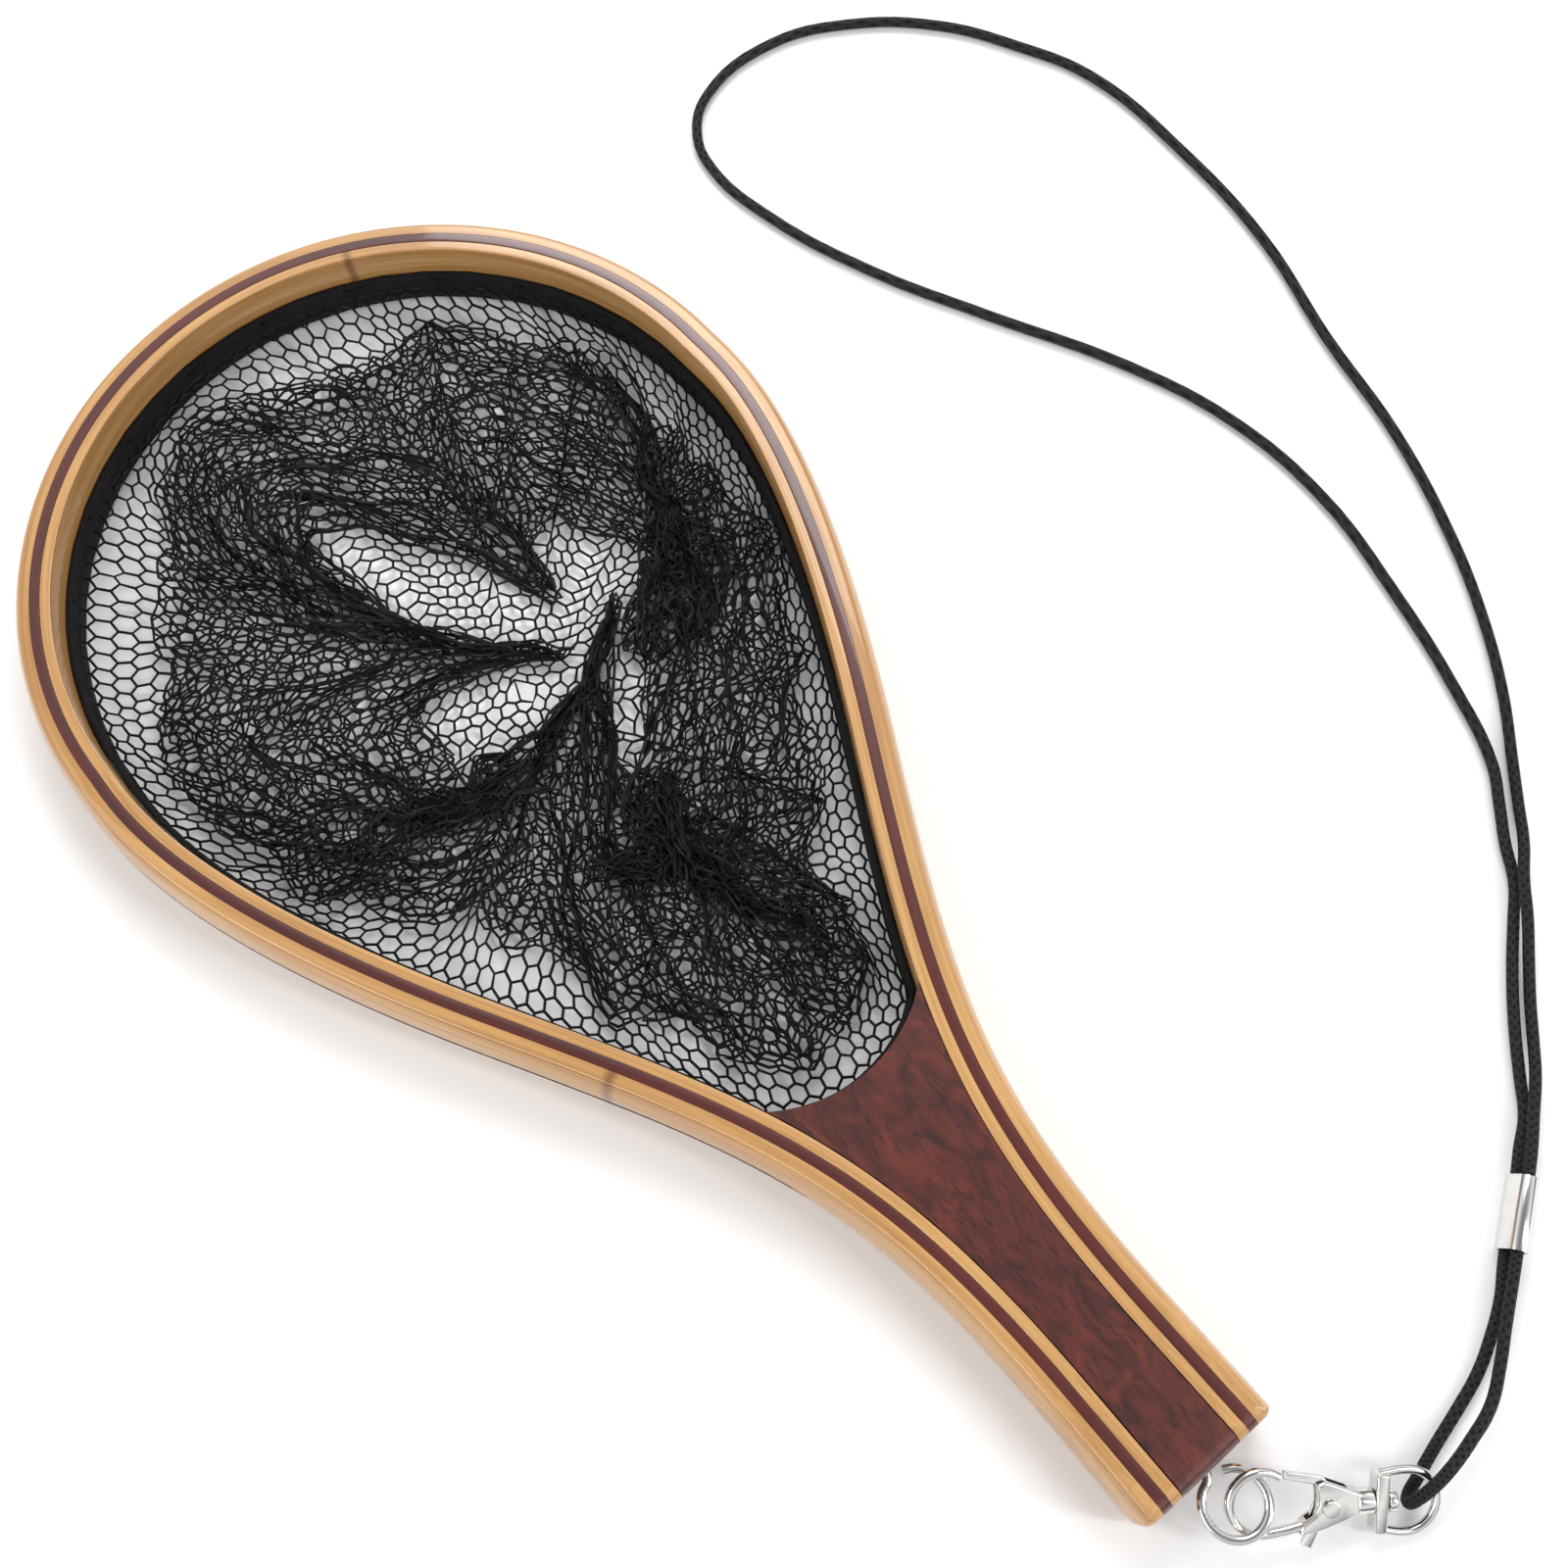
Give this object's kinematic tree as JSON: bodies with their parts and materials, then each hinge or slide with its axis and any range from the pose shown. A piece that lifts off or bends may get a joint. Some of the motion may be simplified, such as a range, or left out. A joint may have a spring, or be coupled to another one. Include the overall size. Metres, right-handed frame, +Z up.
{
  "type": "landing net",
  "caption": "Small hand landing net: laminated wooden hoop and handle, black mesh bag, snap clasp with swivel and a cord lanyard.",
  "frame": {"origin": "on the underside of the handle's core, at the middle of the grip, on the surface that the net lies on", "axes": "+X along the handle towards the butt, the hoop towards -X; +Y to the side where the lanyard lies; +Z up out of the hoop's mouth"},
  "size_m": [0.4472, 0.3646, 0.021],
  "materials": {
    "pale_wood": "gloss lacquer",
    "red_wood": "gloss lacquer",
    "burl_wood": "gloss lacquer",
    "black_net": "matt knitted nylon",
    "black_tape": "matt",
    "black_cord": "satin braid",
    "nickel": "bright plated",
    "spring_steel": "satin"
  },
  "bodies": {
    "frame": {"outer_ply": "pale_wood", "middle_ply": "red_wood", "inner_ply": "pale_wood", "handle_core": "burl_wood", "net_hem": "black_tape", "net_bag": "black_net", "lashing_cord": "black_cord", "screw_eye": "nickel"},
    "clasp": {"clasp_body": "nickel", "trigger_rivet": "nickel", "trigger_spring": "spring_steel", "swivel_rivet": "nickel"},
    "trigger": {"clasp_trigger": "nickel"},
    "swivel": {"swivel_eye": "nickel", "cord_hitch": "black_cord", "cord_right_strand": "black_cord", "cord_left_strand": "black_cord", "cord_loop": "black_cord", "crimp": "nickel"}
  },
  "joints": [
    {"name": "clasp_swing", "type": "hinge", "parent": "frame", "child": "clasp", "pos_m": [0.0674, 0, 0.0105], "axis": [0, 0, 1], "range_deg": [-110, 8]},
    {"name": "trigger_pull", "type": "hinge", "parent": "clasp", "child": "trigger", "pos_m": [0.08098, 0.01591, 0.0077], "axis": [0.4078, -0.1679, 0.8975], "range_deg": [0, 20], "stiffness_Nm_per_rad": 0.02, "springref_deg": -11.46},
    {"name": "swivel_turn", "type": "hinge", "parent": "clasp", "child": "swivel", "pos_m": [0.088, 0.02544, 0.0063], "axis": [0.6232, 0.7696, -0.1392], "continuous": true}
  ]
}
